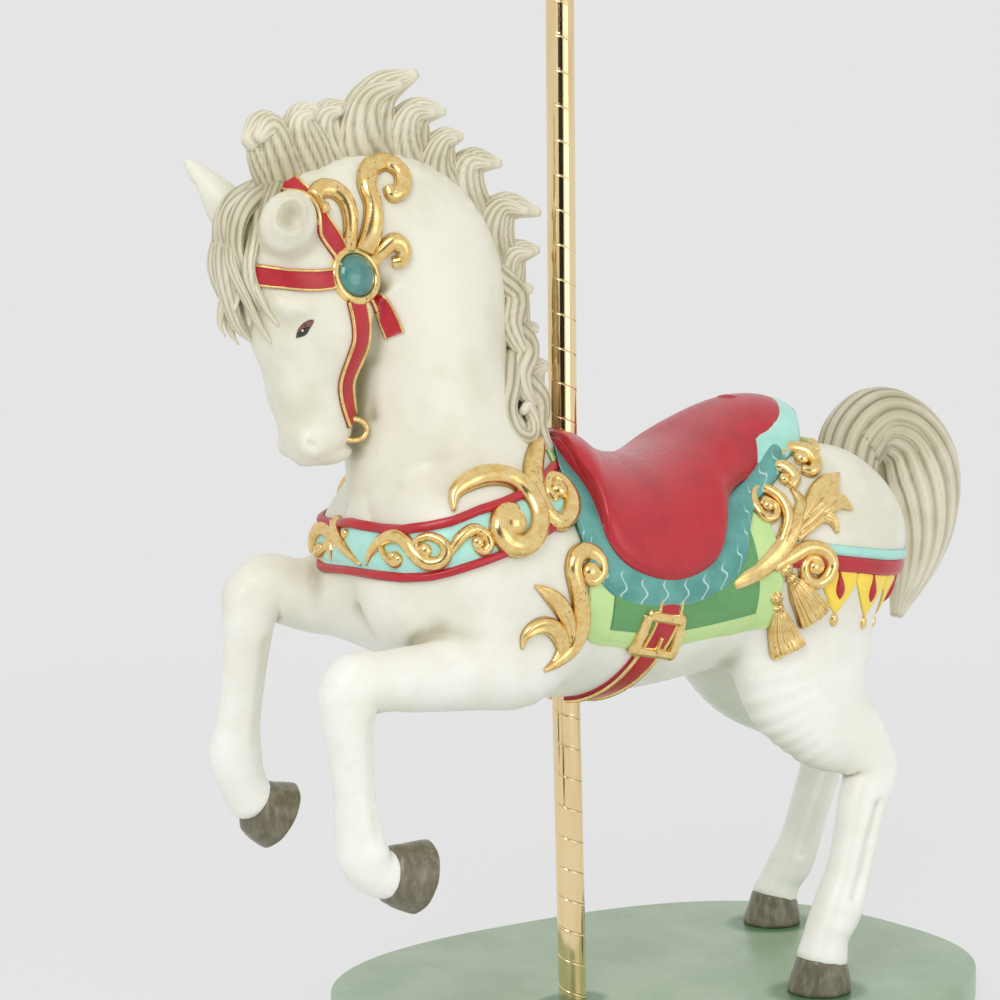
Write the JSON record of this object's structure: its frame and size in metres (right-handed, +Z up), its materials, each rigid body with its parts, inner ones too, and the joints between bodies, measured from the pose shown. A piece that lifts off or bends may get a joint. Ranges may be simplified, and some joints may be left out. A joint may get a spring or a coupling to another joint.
{
  "type": "carousel horse figure",
  "caption": "Painted prancing carousel horse with saddle and gilded trappings, held by a brass pole over a rounded display base.",
  "frame": {"origin": "centre of the base's flat underside", "axes": "+Z up along the pole, -X the way the horse faces, -Y the side of the horse that carries the scrollwork"},
  "size_m": [1.2378, 0.6696, 1.685],
  "materials": {
    "cream_paint": "cast resin with satin cream paint and a thin brown-grey antique wash in the hollows",
    "hair_paint": "cast resin with cream paint and a stronger grey-brown wash in the grooves of the hair",
    "red_paint": "cast resin with glossy red paint",
    "teal_paint": "cast resin with satin teal paint and thin pale lines",
    "aqua_paint": "cast resin with satin pale aqua paint",
    "green_paint": "cast resin with satin light green paint",
    "yellow_paint": "cast resin with satin yellow paint",
    "gold_leaf": "cast resin gilded with antique gold leaf, worn dark in the hollows",
    "hoof_paint": "cast resin with glossy grey-brown paint",
    "pole_brass": "polished brass tube with a thin spiral groove",
    "base_green": "satin green paint, brushed on, darker green round the hooves and the pole"
  },
  "bodies": {
    "root": {"horse": "cream_paint", "upper_pole": "pole_brass", "lower_pole": "pole_brass", "base": "base_green"}
  },
  "joints": []
}
